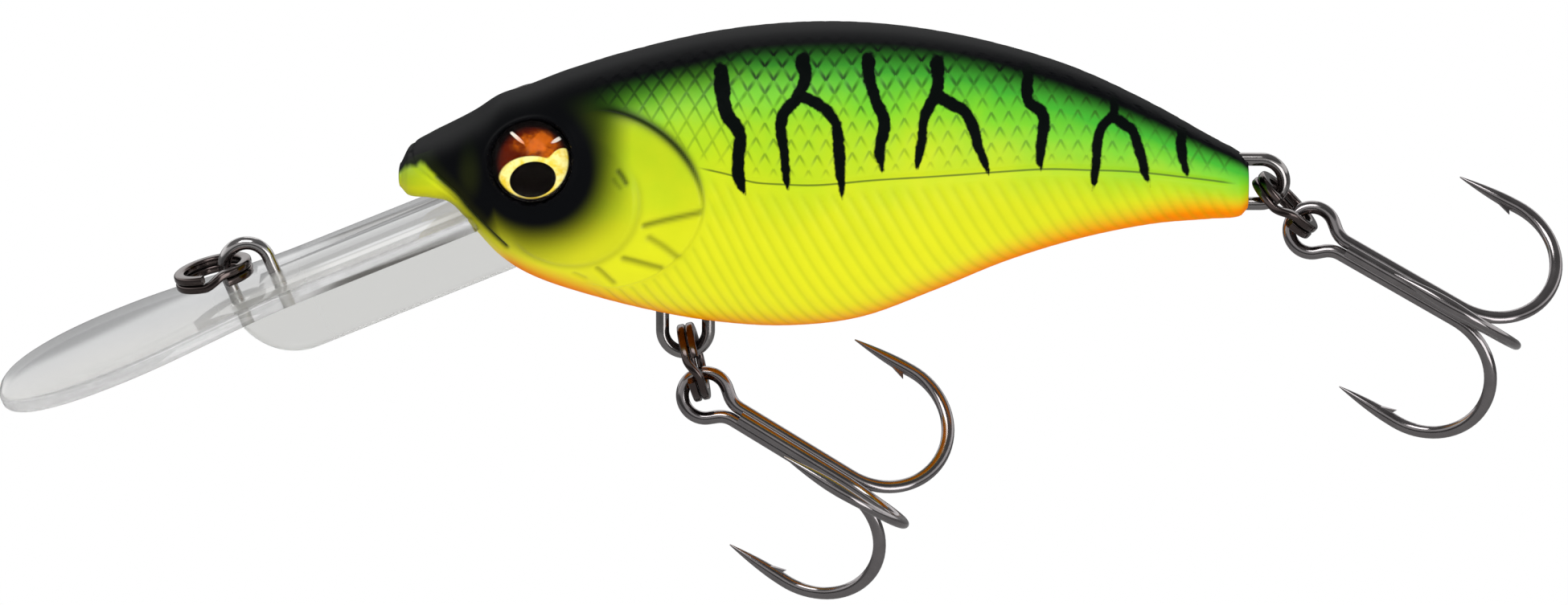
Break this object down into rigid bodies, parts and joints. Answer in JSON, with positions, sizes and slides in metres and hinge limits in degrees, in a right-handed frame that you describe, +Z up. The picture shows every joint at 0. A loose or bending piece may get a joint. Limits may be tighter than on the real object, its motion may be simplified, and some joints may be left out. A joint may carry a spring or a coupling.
{
  "type": "crankbait lure",
  "caption": "Hollow moulded fish-shaped crankbait with a long clear diving lip, a wire line tie, and treble hooks that swing on split rings.",
  "frame": {"origin": "centre of the wire line tie above the diving lip", "axes": "+X from the line tie to the tail, +Z up towards the back, the left half of the body on the -Y side"},
  "size_m": [0.1298, 0.0249, 0.0503],
  "materials": {
    "body_paint": "airbrushed and clear coated",
    "lip_clear": "clear polycarbonate",
    "tie_wire": "plain wire",
    "hanger_wire": "dark nickel wire",
    "ring_black": "black nickel",
    "hook_nickel": "black nickel",
    "eye_iris": "printed disc",
    "eye_lens": "clear dome",
    "ballast_steel": "plain",
    "rattle_steel": "polished"
  },
  "bodies": {
    "lure_body": {"body_left_shell": "body_paint", "body_right_shell": "body_paint", "diving_lip": "lip_clear", "line_tie_wire": "tie_wire", "belly_hanger_wire": "hanger_wire", "tail_hanger_wire": "hanger_wire", "left_eye_iris": "eye_iris", "left_eye_lens": "eye_lens", "right_eye_iris": "eye_iris", "right_eye_lens": "eye_lens", "belly_ballast": "ballast_steel"},
    "line_ring": {"line_tie_split_ring": "ring_black"},
    "belly_ring": {"belly_split_ring": "ring_black"},
    "belly_treble": {"belly_hook_double": "hook_nickel", "belly_hook_single": "hook_nickel"},
    "tail_ring": {"tail_split_ring": "ring_black"},
    "tail_treble": {"tail_hook_double": "hook_nickel", "tail_hook_single": "hook_nickel"},
    "rattle_left": {"rattle_ball_left": "rattle_steel"},
    "rattle_right": {"rattle_ball_right": "rattle_steel"}
  },
  "joints": [
    {"name": "line_ring_swing", "type": "hinge", "parent": "lure_body", "child": "line_ring", "pos_m": [0, 0, 0], "axis": [0, 1, 0], "range_deg": [-12, 168]},
    {"name": "belly_ring_swing", "type": "hinge", "parent": "lure_body", "child": "belly_ring", "pos_m": [0.0363, 0, -0.0056], "axis": [0, 1, 0], "range_deg": [-6, 55]},
    {"name": "belly_treble_swing", "type": "hinge", "parent": "belly_ring", "child": "belly_treble", "pos_m": [0.03768, 0, -0.01113], "axis": [0, 1, 0], "range_deg": [-16, 65]},
    {"name": "tail_ring_swing", "type": "hinge", "parent": "lure_body", "child": "tail_ring", "pos_m": [0.0839, 0, 0.0072], "axis": [0, 1, 0], "range_deg": [-80, 42]},
    {"name": "tail_treble_swing", "type": "hinge", "parent": "tail_ring", "child": "tail_treble", "pos_m": [0.08793, 0, 0.00317], "axis": [0, 1, 0], "range_deg": [-80, 45]},
    {"name": "rattle_left_roll", "type": "slide", "parent": "lure_body", "child": "rattle_left", "axis": [1, 0, 0], "range_m": [0, 0.0078]},
    {"name": "rattle_right_roll", "type": "slide", "parent": "lure_body", "child": "rattle_right", "axis": [1, 0, 0], "range_m": [0, 0.0078]}
  ]
}
